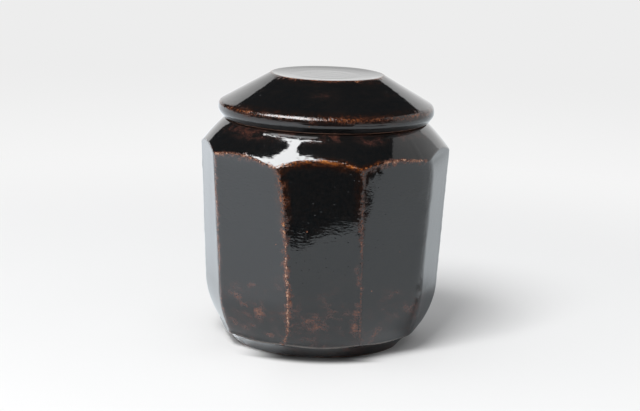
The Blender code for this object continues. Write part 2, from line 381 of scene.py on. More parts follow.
def shoulder_point(crease_radius, crease_height, share):
    """(radius, height) up the domed shoulder, from its crease at share 0 to the mouth rim."""
    dome = 4 * SHOULDER_DOME * share * (1 - share)
    length = math.hypot(SHOULDER_DROP, SHOULDER_WIDTH)
    radius = crease_radius + (RIM_RADIUS - crease_radius) * share + dome * SHOULDER_DROP / length
    height = crease_height + (RIM_HEIGHT - crease_height) * share + dome * SHOULDER_WIDTH / length
    return radius, height


def faceted_part():
    """Bevel, wall and shoulder: points (column, row, 3), and what is said of each point's edges."""
    corner, share = facet_columns()
    base = meeting_height(corner, share, BASE_CREASE_HEIGHT, on_bevel)
    crease = meeting_height(corner, share, CREASE_HEIGHT, on_shoulder)

    span = crease - base - CREASE_ROUNDING - BASE_ROUNDING
    heights = base + BASE_ROUNDING + span * np.linspace(0, 1, WALL_ROWS)
    flat, aside = wall_point(corner, share, heights)
    wall = lifted(flat, heights)
    crease_point = lifted(wall_point(corner, share, crease)[0], crease)
    base_point = lifted(wall_point(corner, share, base)[0], base)

    up = unit(crease_point[..., :2])
    crease_radius = norm(crease_point[..., :2])
    slant = np.hypot(crease_radius - RIM_RADIUS, RIM_HEIGHT - crease)
    first = CREASE_ROUNDING / slant
    shares = first + (1 - first) * np.linspace(0, 1, SHOULDER_ROWS)
    shoulder = at_direction(*shoulder_point(crease_radius, crease, shares), up)

    down = unit(base_point[..., :2])
    width = norm(base_point[..., :2]) - BASE_ROUNDING - FOOT_RADIUS
    bevel_radii = FOOT_RADIUS + width * np.linspace(0, 1, BEVEL_ROWS)
    bevel = at_direction(bevel_radii, bevel_height(bevel_radii, direction_of(down)), down)

    turn = np.linspace(0, 1, CREASE_ROWS + 1)[1:-1, None]
    over_base = bend(bevel[:, -1:], base_point, wall[:, :1], turn)
    over_crease = bend(wall[:, -1:], crease_point, shoulder[:, :1], turn)
    points = np.concatenate([bevel, over_base, wall, over_crease, shoulder], 1)

    run = norm(np.diff(points, axis=1))
    run = np.pad(np.cumsum(run, 1), ((0, 0), (1, 0)))
    base_row = BEVEL_ROWS + CREASE_ROWS // 2 - 1
    crease_row = BEVEL_ROWS + CREASE_ROWS + WALL_ROWS + CREASE_ROWS // 2 - 2
    to_base = np.abs(run - run[:, base_row:base_row + 1])
    to_crease = run - run[:, crease_row:crease_row + 1]
    # The wall's distances to its corners carry on over the crease rows at both ends.
    to_corner = np.full(run.shape, FAR)
    extra = crease_row + 1 - base_row - WALL_ROWS
    carried = np.pad(aside, ((0, 0), (extra // 2, extra - extra // 2)), "edge")
    to_corner[:, base_row:crease_row + 1] = carried

    closest = np.where(share < 0.5, corner, corner + 1) % len(CORNERS)
    stray = wander(closest, points[..., 2]) * np.exp(-(to_corner / WANDER_REACH) ** 2)
    stray = stray * smooth_step(np.minimum(to_base, -to_crease), 0, WANDER_END)
    stray = stray * np.minimum(1, 2 * BREAKS[closest, 0])
    points[..., :2] += np.radians(stray)[..., None] * np.stack([-points[..., 1], points[..., 0]], -1)

    # The shoulder keeps its glaze right down to the crease, so the rust lies below it.
    distances = np.stack([to_corner, np.where(to_crease > 0, SHOULDER_SIDE * to_crease, -to_crease),
                          BASE_SIDE * to_base])
    nearest = distances.argmin(0)
    at_front = np.isin(closest, (FRONT, FRONT + 1))
    at_front = at_front * smooth_step(points[..., 2], *AMBER_HEIGHTS)
    beside = BREAKS[closest, 0] + CREST_BREAK * at_front
    breaks = np.choose(nearest, np.broadcast_arrays(beside, BREAKS[corner, 1], BASE_BREAK))
    # Amber shows on the front crest, where it runs on a little to the right, and on the tops of
    # the corners at its two ends. Along the base crease the glaze is painted pale instead: partly pale
    # thin glaze, partly a painted highlight.
    past_front = (corner == FRONT + 1) * smooth_step(share, *AMBER_RUN)
    on_crest = np.maximum(corner == FRONT, past_front)
    amber = np.choose(nearest, np.broadcast_arrays(at_front, on_crest, -1.0))
    return points, up[:, 0], {"edge": distances.min(0), "breaks": breaks, "amber": amber,
                              "below_crease": -to_crease, "aside": to_corner}


# Meshes

def new_object(name, data):
    obj = bpy.data.objects.new(name, data)
    bpy.context.scene.collection.objects.link(obj)
    return obj


def skin(name, points, first_height, last_height, values):
    """An object from a closed ring of point columns (column, row, 3), with its two ends on the axis.

    values maps an attribute's name to its values (column, row); the ends take their ring's mean.
    """
    columns, rows, _ = points.shape
    ends = np.array([[0, 0, first_height], [0, 0, last_height]])
    vertices = np.concatenate([points.reshape(-1, 3), ends]) * MM
    here = np.arange(columns)[:, None] * rows + np.arange(rows - 1)
    there = (np.arange(columns)[:, None] + 1) % columns * rows + np.arange(rows - 1)
    quads = np.stack([here, there, there + 1, here + 1], -1).reshape(-1, 4)
    start = np.arange(columns) * rows
    after = (np.arange(columns) + 1) % columns * rows
    first, last = columns * rows, columns * rows + 1
    fans = [(first, b, a) for a, b in zip(start, after)]
    fans += [(last, a + rows - 1, b + rows - 1) for a, b in zip(start, after)]
    mesh = bpy.data.meshes.new(name)
    mesh.from_pydata(vertices.tolist(), [], quads.tolist() + fans)
    for key, value in values.items():
        value = np.broadcast_to(value, (columns, rows))
        flat = np.concatenate([value.ravel(), [value[:, 0].mean(), value[:, -1].mean()]])
        mesh.attributes.new(key, "FLOAT", "POINT").data.foreach_set("value", flat.astype(np.float32))
    mesh.shade_smooth()
    mesh.validate()
    return new_object(name, mesh)


def turned(profile, directions):
    """A profile turned round the axis: points (column, row, 3)."""
    radius = np.broadcast_to(profile[:, 0], (len(directions), len(profile)))
    return at_direction(radius, profile[:, 1], directions[:, None])


def jar_inside():
    """Profile from the top of the shoulder over the rim, and down the inside to the floor."""
    # How far out the middle of the widest facet lies, as a share of its corners' radius.
    share = math.cos(math.radians(np.diff(CORNERS[:, 0]).max() / 2))
    wall_at_zero = (KNEE_RADIUS - TAPER_SLOPE * KNEE_HEIGHT) * share - WALL_THICKNESS
    wall_slope = TAPER_SLOPE * share
    inner_crease = (shoulder_height(wall_at_zero) - SHOULDER_DEPTH) / (1 + SHOULDER_SLOPE * wall_slope)
    corner_top = FLOOR_HEIGHT + FLOOR_CORNER_RADIUS
    low = float(corner_radius(np.array(corner_top))) * share - WALL_THICKNESS
    return outline([
        (RIM_RADIUS, RIM_HEIGHT, 0),
        (MOUTH_RADIUS, RIM_HEIGHT, RIM_ROUNDING),
        (MOUTH_RADIUS, shoulder_height(MOUTH_RADIUS) - SHOULDER_DEPTH, NECK_ROUNDING),
        (wall_at_zero + wall_slope * inner_crease, inner_crease, INNER_CREASE_ROUNDING),
        (KNEE_RADIUS * share - WALL_THICKNESS, KNEE_HEIGHT, INNER_KNEE_ROUNDING),
        (low, FLOOR_HEIGHT, FLOOR_CORNER_RADIUS),
        (0, FLOOR_HEIGHT, 0),
    ], INSIDE_SPACING)


# Fine forms
GLAZE_LINE = 0.3  # height at which the glaze ends, and how much that wavers
RIM_BARE_INSET = 0.4  # how far in from its outer edge the bare rim begins
RIM_BARE_DEPTH = 1.6  # and how far down the bore it goes
BARE_LIMIT = 3.0  # distances from the glaze line are kept within this
FACET_EDGE = (0.4, 4.0)  # over these distances from an edge the hollows set in
HOLLOW = 0.05
CROSS_RIPPLE = 0.0035
DOWN_STREAK = 0.006
TEAR_REACH = 1.3  # how far from an edge the blade tore the clay,
TEAR = 0.04  # how deep at least,
TEAR_AT_BREAK = 0.08  # and how much deeper where the glaze breaks most
TEAR_LEVEL = 0.9  # how far it lies below the cut, in shares of that
THROWING_RING = 0.10
THROWING_STEP = 6.5
LID_RING = 0.010
LID_RING_STEP = 6.2
LID_UNEVEN = 0.05  # how far the lid's top rises and falls
LID_WOBBLE = 0.12  # how far its outline is out of round
RIM_UNEVEN = 0.05  # and how bumpy the turn of its rim is,
RIM_UNEVEN_REACH = 1.5  # this far from it
SEAT_BARE = (0.9, 0.35)  # how far out past its tuck the seat is bare


def make_jar():
    faceted, directions, edges = faceted_part()
    ring_inside = FOOT_RADIUS - FOOT_RING_WIDTH
    under = outline([(0, FOOT_RECESS, 0), (ring_inside, FOOT_RECESS, RECESS_ROUNDING),
                     (ring_inside, 0, FOOT_ROUNDING), (FOOT_RADIUS, 0, 0)], UNDER_SPACING)[1:-1]
    inside = jar_inside()[1:-1]
    points = np.concatenate([turned(under, directions), faceted, turned(inside, directions)], 1)
    outside = slice(len(under), len(under) + faceted.shape[1])
    radius = norm(points[..., :2])
    height = points[..., 2]
    row = np.arange(points.shape[1])
    on_outside = (row >= outside.start) & (row < outside.stop)

    edge = np.full(points.shape[:2], FAR)
    breaks, amber = 0 * edge, 0 * edge
    edge[:, outside] = edges["edge"]
    breaks[:, outside] = edges["breaks"] * (1 + BREAK_SPREAD * waves(faceted, 13, 51))
    amber[:, outside] = edges["amber"]

    # Bare clay: below a wavering glaze line at the foot, and on the rim that the lid rests on.
    foot_line = GLAZE_LINE * (1 + waves(points, 22, 11))
    rim_bare = np.minimum(RIM_RADIUS - RIM_BARE_INSET - radius, height - (RIM_HEIGHT - RIM_BARE_DEPTH))
    bare = np.where(row < outside.start, BARE_LIMIT, np.where(on_outside, foot_line - height, rim_bare))

    # The facets are not quite flat: broad hollows, fine ripples across and faint streaks down.
    facet = smooth_step(edge, *FACET_EDGE) * on_outside * smooth_step(RIM_HEIGHT - height, 1, 6)
    hollow = HOLLOW * (waves(points, 34, 21, (1, 1, 1.4)) - 1)
    ripple = CROSS_RIPPLE * waves(points, 5.5, 24, (5, 5, 1))
    ripple = ripple + DOWN_STREAK * waves(points, 8, 22, (1, 1, 6))
    # The edges are beaded, where the blade tore the clay.
    torn = np.exp(-(edge / TEAR_REACH) ** 2) * on_outside
    torn = torn * (TEAR + TEAR_AT_BREAK * np.minimum(breaks, 1))
    lift = (hollow + ripple) * facet + torn * (waves(points, 2.7, 23) - TEAR_LEVEL)
    # Throwing rings inside, which climb as a spiral.
    turn = np.arctan2(points[..., 0], points[..., 1])
    ridge = THROWING_RING * np.cos(height * math.tau / THROWING_STEP + turn)
    deep = (row >= outside.stop) * smooth_step(RIM_HEIGHT - height, 10, 20) * smooth_step(radius, 4, 20)
    lift = lift - ridge * deep
    outward = points * (1, 1, 0)
    points = points + outward / np.maximum(radius, 1e-6)[..., None] * lift[..., None]
    low = smooth_step(height, BASE_CREASE_HEIGHT, 0) * (row < outside.stop)
    points[..., :2] += low[..., None] * FOOT_SHIFT

    wear = jar_wear(points)
    wear[:, outside] = np.maximum(wear[:, outside], crest_wear(faceted, edges))
    jar = skin("glazed_jar_body", points, FOOT_RECESS, FLOOR_HEIGHT,
               {"edge": edge, "breaks": breaks, "amber": amber, "wear": wear,
                "bare": np.clip(bare, -BARE_LIMIT, BARE_LIMIT)})
    jar.data.materials.append(iron_glaze("iron_glaze_jar", 7.0))
    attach(jar, "jar")
    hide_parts("jar_body")


# Rust-red clouds where the glaze lies thin: direction, height, half-width, half-height, strength.
CLOUDS = (
    (-36.5, 33.0, 4.2, 1.8, 0.56), (-46.0, 27.0, 5.0, 2.6, 0.54),
    (-42.0, 23.5, 4.2, 2.2, 0.66), (-33.0, 21.5, 4.6, 2.4, 0.64),
    (-40.0, 13.0, 4.4, 1.8, 0.50), (-28.0, 10.5, 5.4, 2.2, 0.48),
    (-3.5, 18.0, 12.5, 6.0, 0.46), (-7.0, 9.5, 9.0, 2.4, 0.42),
    (17.6, 41.0, 2.2, 8.0, 0.42), (18.5, 17.0, 3.6, 3.0, 0.74),
    (18.0, 25.0, 3.0, 7.0, 0.46), (40.0, 31.0, 8.0, 2.6, 0.34),
    (36.0, 13.0, 8.0, 3.0, 0.34), (110.0, 30.0, 7.0, 4.0, 0.50),
    (148.0, 24.0, 9.0, 4.0, 0.54), (176.0, 60.0, 7.0, 5.0, 0.42),
    (212.0, 18.0, 9.0, 4.0, 0.50), (250.0, 30.0, 7.0, 5.0, 0.50),
)
CLOUD_FALL = 1.2  # how sharply a cloud falls off, 1 being a bell
CLOUD_SHIFT = (1.1, 0.6)  # degrees and millimetres that noise moves its outline
LOW_HEIGHTS = (62, 14)  # the glaze thins from the first height down to the second,
LOW_WEAR = (0.28, 0.12)  # by this much

# Wear beside the edges. A sector is its middle direction, half-width and soft border in degrees.
FRONT_FACET = (0, 13, 5)
LEFT_OF_FRONT = (-27, 7, 4)
RIGHT_OF_CORNER = (-14, 2.5, 1.5)
LEFT_OF_MOUTH = (-42, 0, 22)
FRONT_WEAR = 0.60
LEFT_OF_FRONT_WEAR = 0.42
CORNER_WEAR = 0.34
CORNER_WEAR_HEIGHTS = (58, 74)
CORNER_WEAR_REACH = 1.7
CURTAIN = (1.9, 0.7)  # how far the wear hangs down below the crease
CURTAIN_TOP = 0.6  # and how far up over it
MOUTH_HEIGHTS = (97.0, 102.5)
MOUTH_WEAR = (0.24, 0.13)
MOUTH_WEAR_AT_LEFT = 0.15


def sector(direction, middle, half_width, border):
    """1 within a sector, fading to 0 past its border."""
    return np.exp(-(np.clip(np.abs(direction - middle) - half_width, 0, None) / border) ** 2)


def jar_wear(points):
    """How thin the glaze lies, 0 to 1, apart from the edges."""
    direction = direction_of(points) + CLOUD_SHIFT[0] * waves(points, 6, 35)
    height = points[..., 2] + CLOUD_SHIFT[1] * waves(points, 5, 36)
    wear = np.zeros(points.shape[:2])
    for place, level, half_width, half_height, strength in CLOUDS:
        aside = (direction - place + 180) % 360 - 180
        apart = (aside / half_width) ** 2 + ((height - level) / half_height) ** 2
        wear = np.maximum(wear, strength * np.exp(-apart ** CLOUD_FALL))
    low = varied(LOW_WEAR, waves(points, 17, 33, (1, 1, 0.7)))
    return np.maximum(wear, smooth_step(height, *LOW_HEIGHTS) * low)


def crest_wear(points, edges):
    """Thin glaze by the edges: below the crease in front, beside one corner, under the mouth."""
    direction = direction_of(points)
    height = points[..., 2]
    below = edges["below_crease"]
    hanging = varied(CURTAIN, waves(points, 7, 34))
    curtain = np.exp(-(below / hanging) ** 2) * (below > -CURTAIN_TOP)
    wear = curtain * np.maximum(FRONT_WEAR * sector(direction, *FRONT_FACET),
                                LEFT_OF_FRONT_WEAR * sector(direction, *LEFT_OF_FRONT))
    beside = CORNER_WEAR * np.exp(-(edges["aside"] / CORNER_WEAR_REACH) ** 2)
    beside = beside * sector(direction, *RIGHT_OF_CORNER) * smooth_step(height, *CORNER_WEAR_HEIGHTS)
    wear = np.maximum(wear, beside)
    mouth = varied(MOUTH_WEAR, waves(points, 12, 31))
    mouth = mouth + MOUTH_WEAR_AT_LEFT * sector(direction, *LEFT_OF_MOUTH)
    return np.maximum(wear, smooth_step(height, *MOUTH_HEIGHTS) * mouth)


def lid_slope(radius):
    return LID_TOP - (radius - TOP_RADIUS) * math.tan(math.radians(SLOPE_ANGLE))


def lid_outline():
    """Profile of the lid from the middle of its disc, over the lip, to the middle of its roof."""
    disc = LID_TOP - DISC_DISH
    flange_outside = MOUTH_RADIUS - FLANGE_CLEARANCE
    flange_inside = flange_outside - FLANGE_THICKNESS
    flange_end = FLANGE_THICKNESS / 2 - FLANGE_FLAT
    slope_depth = LID_THICKNESS / math.cos(math.radians(SLOPE_ANGLE))
    roof = disc - LID_THICKNESS
    roof_radius = TOP_RADIUS + (LID_TOP - slope_depth - roof) / math.tan(math.radians(SLOPE_ANGLE))
    return outline([
        (0, disc, 0),
        (TOP_RADIUS - DISC_CURVE, disc, DISC_CURVE - DISC_BORDER),
        (TOP_RADIUS, LID_TOP, DISC_EDGE_ROUNDING),
        (RIM_TOP_RADIUS, lid_slope(RIM_TOP_RADIUS), RIM_TURN),
        (LID_EDGE_RADIUS + LIP_BULGE, SEAT_HEIGHT + LIP_TURN_HEIGHT, LIP_TURN),
        (LID_EDGE_RADIUS - LIP_TUCK + LIP_FOOT_OUT, SEAT_HEIGHT, LIP_FOOT_ROUNDING),
        (flange_outside, SEAT_HEIGHT, SEAT_ROUNDING),
        (flange_outside, SEAT_HEIGHT - FLANGE_DEPTH, flange_end),
        (flange_inside, SEAT_HEIGHT - FLANGE_DEPTH, flange_end),
        (flange_inside, lid_slope(flange_inside) - slope_depth, UNDER_SLOPE_ROUNDING),
        (roof_radius, roof, ROOF_ROUNDING),
        (0, roof, 0),
    ], LID_SPACING)


def row_near(profile, radius, height):
    return int(np.hypot(profile[:, 0] - radius, profile[:, 1] - height).argmin())


def make_lid():
    profile = lid_outline()
    disc, roof = profile[0, 1], profile[-1, 1]
    profile = profile[1:-1]
    angles = np.arange(LID_COLUMNS) * math.tau / LID_COLUMNS
    # The columns run the other way round than the jar's, as this profile runs downwards.
    directions = np.stack([np.sin(angles), -np.cos(angles)], -1)[::-1]
    points = turned(profile, directions)
    radius = norm(points[..., :2])
    run = np.pad(np.cumsum(norm(np.diff(profile, axis=0))), (1, 0))
    seat_row = row_near(profile, LID_EDGE_RADIUS - LIP_TUCK, SEAT_HEIGHT)
    rim_row = row_near(profile, RIM_TOP_RADIUS, lid_slope(RIM_TOP_RADIUS))
    disc_row = row_near(profile, TOP_RADIUS, LID_TOP)
    flange_row = row_near(profile, MOUTH_RADIUS - FLANGE_CLEARANCE - FLANGE_THICKNESS, SEAT_HEIGHT - 3)

    # The glaze runs thin just below the disc's edge and over the whole turn of the rim.
    past_disc = run - run[disc_row]
    past_rim = run - run[rim_row]
    to_disc = np.where(past_disc < 0, -DISC_INSIDE * past_disc, DISC_OUTSIDE * past_disc)
    to_rim = np.abs(past_rim - RIM_BREAK_OUT) / RIM_BREAK_WIDTH
    edge = np.minimum(to_disc, to_rim)
    by_rim = to_rim < to_disc
    breaks = np.where(by_rim, varied(RIM_BREAK, waves(points, 15, 46)),
                      varied(DISC_BREAK, waves(points, 12, 47)))
    amber = np.where(by_rim, RIM_AMBER, DISC_AMBER)
    seat = run - run[seat_row] + varied(SEAT_BARE, waves(points, 20, 41))
    bare = np.clip(np.minimum(seat, run[flange_row] - run), -BARE_LIMIT, BARE_LIMIT)

    # Fine forms, on the outside only: rings on the top, an uneven surface and a bumpy rim.
    outer = np.arange(len(profile)) < seat_row - 3
    rings = LID_RING * np.cos(radius * math.tau / LID_RING_STEP + 0.9 * waves(points, 40, 44) + 0.5)
    rings = rings * smooth_step(radius, 0.5, 6) * smooth_step(LID_EDGE_RADIUS - radius, 0.5, 4)
    lift = rings + LID_UNEVEN * waves(points, 26, 42) * smooth_step(radius, 2, 10) - LID_UNEVEN
    points[..., 2] += lift * outer
    wobble = LID_WOBBLE * waves(points, 22, 43) * smooth_step(radius, 20, 30)
    bumps = RIM_UNEVEN * np.exp(-(past_rim / RIM_UNEVEN_REACH) ** 2) * waves(points, 3.0, 48)
    points[..., :2] *= (1 + (wobble + bumps) * outer / np.maximum(radius, 1))[..., None]

    streaks = varied(LID_WEAR, waves(points, 26, 45, (1, 1, 0.15)))
    wear = np.clip(streaks, 0, 1) * outer
    lid = skin("glazed_lid", points, disc, roof,
               {"edge": edge, "breaks": breaks, "amber": amber, "wear": wear, "bare": bare})
    lid.data.materials.append(iron_glaze("iron_glaze_lid", 3.0))
    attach(lid, "lid")
    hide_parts("lid")


# Materials

def feed(tree, socket, value):
    """Links a socket, or sets it to a plain value."""
    if isinstance(value, bpy.types.NodeSocket):
        tree.links.new(value, socket)
    else:
        socket.default_value = value


def add(tree, kind, inputs, output=0, **settings):
    """An output of a new node, whose inputs are linked or set."""
    node = tree.nodes.new("ShaderNode" + kind)
    for name, value in settings.items():
        setattr(node, name, value)
    for socket, value in inputs.items():
        feed(tree, node.inputs[socket], value)
    return node.outputs[output]


def new_material(name):
    material = bpy.data.materials.new(name)
    material.use_nodes = True
    return material, material.node_tree


def calculate(tree, operation, first, second, clamp=False):
    return add(tree, "Math", {0: first, 1: second}, operation=operation, use_clamp=clamp)


def product(tree, first, *others):
    for other in others:
        first = calculate(tree, "MULTIPLY", first, other)
    return first


def largest(tree, first, *others):
    for other in others:
        first = calculate(tree, "MAXIMUM", first, other)
    return first


def remap(tree, value, start, end, low=0.0, high=1.0):
    """The value from start to end, smoothly brought to low to high."""
    inputs = {"Value": value, "From Min": start, "From Max": end, "To Min": low, "To Max": high}
    return add(tree, "MapRange", inputs, "Result", interpolation_type="SMOOTHSTEP")


def in_grains(tree, size, shift, stretch=(1, 1, 1)):
    """Place on the object, with size millimetres as its unit."""
    place = add(tree, "TexCoord", {}, "Object")
    scale = [1 / (size * MM * share) for share in stretch]
    return add(tree, "VectorMath", {0: place, 1: scale, 2: shift}, operation="MULTIPLY_ADD")


def speckle(tree, size, seed, stretch=(1, 1, 1), detail=3.0, roughness=0.55):
    """Noise from 0 to 1 whose grains are about size millimetres wide."""
    place = in_grains(tree, size, (seed, seed * 1.7, seed * 0.6), stretch)
    inputs = {"Vector": place, "Scale": 1.0, "Detail": detail, "Roughness": roughness}
    return add(tree, "TexNoise", inputs, "Fac")


def pits(tree, size, seed):
    """Distance to scattered points about size millimetres apart, 0 at each point."""
    place = in_grains(tree, size, (seed, seed * 2.3, seed * 0.4))
    return add(tree, "TexVoronoi", {"Vector": place, "Scale": 1.0}, "Distance")


def ramp(tree, value, stops):
    node = tree.nodes.new("ShaderNodeValToRGB")
    elements = node.color_ramp.elements
    while len(elements) < len(stops):
        elements.new(1.0)
    for element, (position, colour) in zip(elements, stops):
        element.position = position
        element.color = (*colour, 1.0)
    feed(tree, node.inputs["Fac"], value)
    return node.outputs["Color"]


def blend(tree, share, first, second):
    return add(tree, "Mix", {"Factor": share, 6: first, 7: second}, 2, data_type="RGBA")


def bump(tree, height, distance, strength, normal=None):
    inputs = {"Height": height, "Distance": distance * MM, "Strength": strength}
    if normal is not None:
        inputs["Normal"] = normal
    return add(tree, "Bump", inputs, "Normal")


RUST_STOPS = (
    (0.00, (0.0040, 0.0049, 0.0055)),
    (0.20, (0.0092, 0.0078, 0.0074)),
    (0.40, (0.0430, 0.0185, 0.0150)),
    (0.60, (0.0980, 0.0345, 0.0190)),
    (0.80, (0.1900, 0.0780, 0.0420)),
    (1.00, (0.3900, 0.2300, 0.1600)),
)
AMBER_STOPS = (
    (0.00, (0.0040, 0.0049, 0.0055)),
    (0.20, (0.0140, 0.0066, 0.0046)),
    (0.40, (0.0460, 0.0140, 0.0055)),
    (0.60, (0.1450, 0.0410, 0.0085)),
    (0.80, (0.3500, 0.1080, 0.0190)),
    (1.00, (0.5600, 0.2900, 0.0900)),
)
PALE_GLAZE_AND_HIGHLIGHT = (0.105, 0.094, 0.087)
CLAY_STOPS = (
    (0.30, (0.090, 0.038, 0.022)),
    (0.55, (0.160, 0.072, 0.042)),
    (0.75, (0.250, 0.130, 0.080)),
)


def iron_glaze(name, seed):
    """Near-black iron glaze that breaks to rust where it is thin, and the bare clay beside it."""
    material, tree = new_material(name)
    shader = tree.nodes["Principled BSDF"]
    edge, breaks, wear, bare, amber = (add(tree, "Attribute", {}, "Fac", attribute_name=name)
                                       for name in ("edge", "breaks", "wear", "bare", "amber"))
    grain = speckle(tree, 0.7, seed, detail=3.0, roughness=0.6)
    clumps = speckle(tree, 2.6, seed + 1, detail=3.0)
    cloud = speckle(tree, 13.0, seed + 2, stretch=(1.5, 1.5, 0.7))

    # A ragged band of rust along each edge, wide and bright where the edge breaks most. It has
    # beads of pale glaze along its middle and fades out at its sides.
    swell = remap(tree, clumps, 0.28, 0.72, 0.45, 1.35)
    reach = calculate(tree, "ADD", product(tree, breaks, 2.7), remap(tree, amber, 0.0, 1.0, 0.8, 2.1))
    share = calculate(tree, "DIVIDE", edge, product(tree, reach, swell))
    beads = remap(tree, speckle(tree, 1.3, seed + 3, detail=4.0, roughness=0.75), 0.36, 0.64, 0.15, 1.45)
    middle = product(tree, remap(tree, share, 0.62, 0.08), beads)
    patchy = remap(tree, speckle(tree, 2.4, seed + 10, detail=4.0), 0.34, 0.66, 0.25, 0.85)
    sides = product(tree, remap(tree, share, 1.30, 0.30), patchy)
    strong = product(tree, remap(tree, breaks, 0.0, 0.9, 0.22, 0.82),
                     remap(tree, amber, 0.0, 1.0, 1.0, 0.56))
    band = product(tree, largest(tree, middle, sides), strong)

    # Soft clouds, a faint mottling everywhere, and a few pale specks.
    mottle = remap(tree, speckle(tree, 3.0, seed + 4, stretch=(1.4, 1.4, 0.8), detail=5.0,
                                 roughness=0.62), 0.32, 0.68, 0.40, 1.25)
    clouds = product(tree, wear, mottle)
    faint = product(tree, remap(tree, cloud, 0.44, 0.80, 0.01, 0.20), mottle)
    specks = remap(tree, pits(tree, 11.0, seed + 9), 0.045, 0.025, 0.0, 0.75)
    fine = remap(tree, speckle(tree, 1.7, seed + 12, detail=5.0, roughness=0.72), 0.36, 0.68, 0.0, 0.15)
    thin = largest(tree, band, clouds, faint, fine, specks)
    grainy = remap(tree, grain, 0.30, 0.70, 0.70, 1.30)
    thin = calculate(tree, "MULTIPLY", thin, grainy, clamp=True)
    leaning = product(tree, amber, remap(tree, edge, 5.0, 3.0))
    glaze_colour = blend(tree, leaning, ramp(tree, thin, RUST_STOPS), ramp(tree, thin, AMBER_STOPS))
    # Along the base crease (amber below 0) a pale line, partly pale thin glaze and partly a painted
    # highlight
    pale_and_highlight = product(tree, remap(tree, amber, -0.4, -1.0), remap(tree, edge, 2.3, 0.6),
                    remap(tree, clumps, 0.25, 0.60, 0.55, 1.0))
    glaze_colour = blend(tree, pale_and_highlight, glaze_colour, (*PALE_GLAZE_AND_HIGHLIGHT, 1.0))

    clay_colour = ramp(tree, speckle(tree, 1.3, seed + 5, detail=6.0, roughness=0.7), CLAY_STOPS)
    ragged = remap(tree, clumps, 0.0, 1.0, -0.4, 0.4)
    is_bare = remap(tree, calculate(tree, "ADD", bare, ragged), -0.12, 0.12)
    feed(tree, shader.inputs["Base Color"], blend(tree, is_bare, glaze_colour, clay_colour))

    smear = remap(tree, speckle(tree, 7.0, seed + 6), 0.3, 0.7, 0.035, 0.070)
    rough = calculate(tree, "ADD", smear, remap(tree, thin, 0.25, 0.9, 0.0, 0.14))
    clay_rough = remap(tree, is_bare, 0.0, 1.0, 0.0, 0.7)
    feed(tree, shader.inputs["Roughness"], calculate(tree, "ADD", rough, clay_rough, clamp=True))
    shader.inputs["IOR"].default_value = 1.6
    shader.inputs["Metallic"].default_value = 0.0

    # Orange peel all over, ripples and pinholes, and beads on the edges and in bare clay.
    peel = bump(tree, speckle(tree, 4.5, seed + 7, detail=2.0), 0.045, 0.6)
    ripples = bump(tree, speckle(tree, 2.0, seed + 8, stretch=(4, 4, 1), detail=3.0), 0.008, 1.0, peel)
    holes = remap(tree, pits(tree, 3.1, seed), 0.05, 0.16)
    holed = bump(tree, holes, 0.05, 0.5, ripples)
    sandy = bump(tree, speckle(tree, 0.9, seed + 11, stretch=(3, 3, 1), detail=1.0), 0.015, 1.0, holed)
    torn = largest(tree, remap(tree, band, 0.05, 0.5), is_bare)
    beaded = bump(tree, clumps, 0.45, remap(tree, band, 0.20, 0.6), sandy)
    final = bump(tree, grain, 0.16, torn, beaded)
    tree.links.new(final, shader.inputs["Normal"])
    return material


def show(tree, shader):
    """Makes a shader the material's surface, in place of the one that the material came with."""
    tree.nodes.remove(tree.nodes["Principled BSDF"])
    tree.links.new(shader, tree.nodes["Material Output"].inputs["Surface"])


# The studio, in metres. A range is (start, end) or (start, end, value at start, value at end), of
# what make_floor gives it: the place to the right or the back, or the distance from the axis.

FLOOR_SIZE = 30.0
FLOOR_WHITE = 0.85
FAR_GLOW = 0.847
PAPER_GLOW = (0.30, 1.00, 0.925, FAR_GLOW)
GLOW_RANGE = (0.20, 0.50)  # nearer than this the floor shows only the light that falls on it

# The floor as the camera sees it: painted shade in a soft dark ring in front, where the jar
# overhangs it, and painted light that makes the paper brighter at the left
PAINTED_SHADE_RING = (0.0395, 0.0550)
PAINTED_SHADE_FALL = 1.6
RING_END_LEFT = (-0.010, -0.044)
RING_END_RIGHT = (0.008, 0.036)
RING_END_BACK = (-0.030, -0.018)
PAINTED_SHADE = 0.07  # the share of light that the ring leaves
LEFT_SIDE = (-0.012, -0.034)
# Painted light: the paper's colour is raised beside the foot and further out at the left
PAINTED_LIGHT_BY_FOOT = (0.040, 0.049, 1.22, 1.0)
PAINTED_LIGHT_AT_LEFT = (0.060, 0.150, 1.03, 1.0)

# The floor as the glaze shows it: a painted reflection, brighter than the paper, with painted
# light beside the foot and at the left, and a painted shadow at the right
BRIGHT_IN_GLAZE = (1.37, 1.45, 1.53)  # at the left
DIM_IN_GLAZE = (0.98, 1.04, 1.08)  # in front and at the right
BRIGHT_TO_DIM = (-0.13, -0.03)
BESIDE_FOOT = (0.041, 0.048)  # from the next two added together to 1
FRONT_LEFT_LIGHT = (-0.005, -0.023, 0.5, 1.4)
FAR_LEFT_LIGHT = (-0.030, -0.040, 0.0, 3.0)
PAST_RING = (0.055, 0.110)
LIGHT_PAST_RING = 1.04
# Painted shadow in the glaze: the floor's reflection keeps this share of its light at the jar's right,
# inside these
PAINTED_SHADOW_LIGHT = 0.40  # what is left in the jar's shadow
SHADOW_LEFT = (0.035, 0.052)
SHADOW_RIGHT = (0.170, 0.120)
SHADOW_FRONT = (-0.045, -0.015)
SHADOW_BACK = (0.130, 0.045)


def panel(name, corners, material):
    """A flat piece of the studio from its corners in metres."""
    mesh = bpy.data.meshes.new(name)
    mesh.from_pydata(corners, [], [tuple(range(len(corners)))])
    mesh.materials.append(material)
    obj = new_object(name, mesh)
    return obj


def card(name, corners, strength, colour=(1.0, 1.0, 1.0)):
    """A reflector that only shows in the glaze, so that it neither lights nor hides anything."""
    material, tree = new_material(name)
    show(tree, add(tree, "Emission", {"Color": (*colour, 1.0), "Strength": strength}))
    obj = panel(name, corners, material)
    for ray in ("camera", "diffuse", "shadow", "transmission", "volume_scatter"):
        setattr(obj, "visible_" + ray, False)


